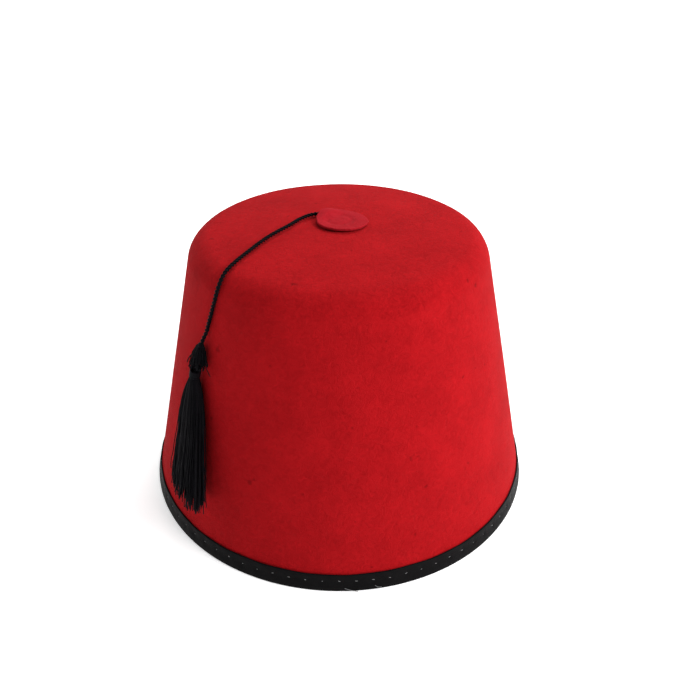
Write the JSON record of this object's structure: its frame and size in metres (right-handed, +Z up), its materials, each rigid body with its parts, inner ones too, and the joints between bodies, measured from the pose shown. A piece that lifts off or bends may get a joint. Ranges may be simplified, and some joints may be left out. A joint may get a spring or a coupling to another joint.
{
  "type": "fez hat",
  "caption": "Tapering felt hat with a slightly domed top, a bound rim, a felt disc on top, and a twisted cord that runs over the edge to a tassel at the side.",
  "frame": {"origin": "centre of the rim's flat underside, which is the surface that the hat stands on", "axes": "+Z up through the middle of the top, -Y towards the front, +X to the right of someone who faces the front; the tassel hangs at the front left, on the -X side"},
  "size_m": [0.1924, 0.1924, 0.1355],
  "materials": {
    "red_felt": "matt pressed felt with short matted fibres and faint mottling",
    "black_binding": "soft black binding tape with a dull sheen, stitched through",
    "black_yarn": "smooth black rayon yarn with a silky sheen along the strands"
  },
  "bodies": {
    "root": {"crown": "red_felt", "rim_band": "black_binding", "top_disc": "red_felt", "cord": "black_yarn", "tassel_knot": "black_yarn", "tassel_binding": "black_yarn", "tassel_skirt": "black_yarn"}
  },
  "joints": []
}
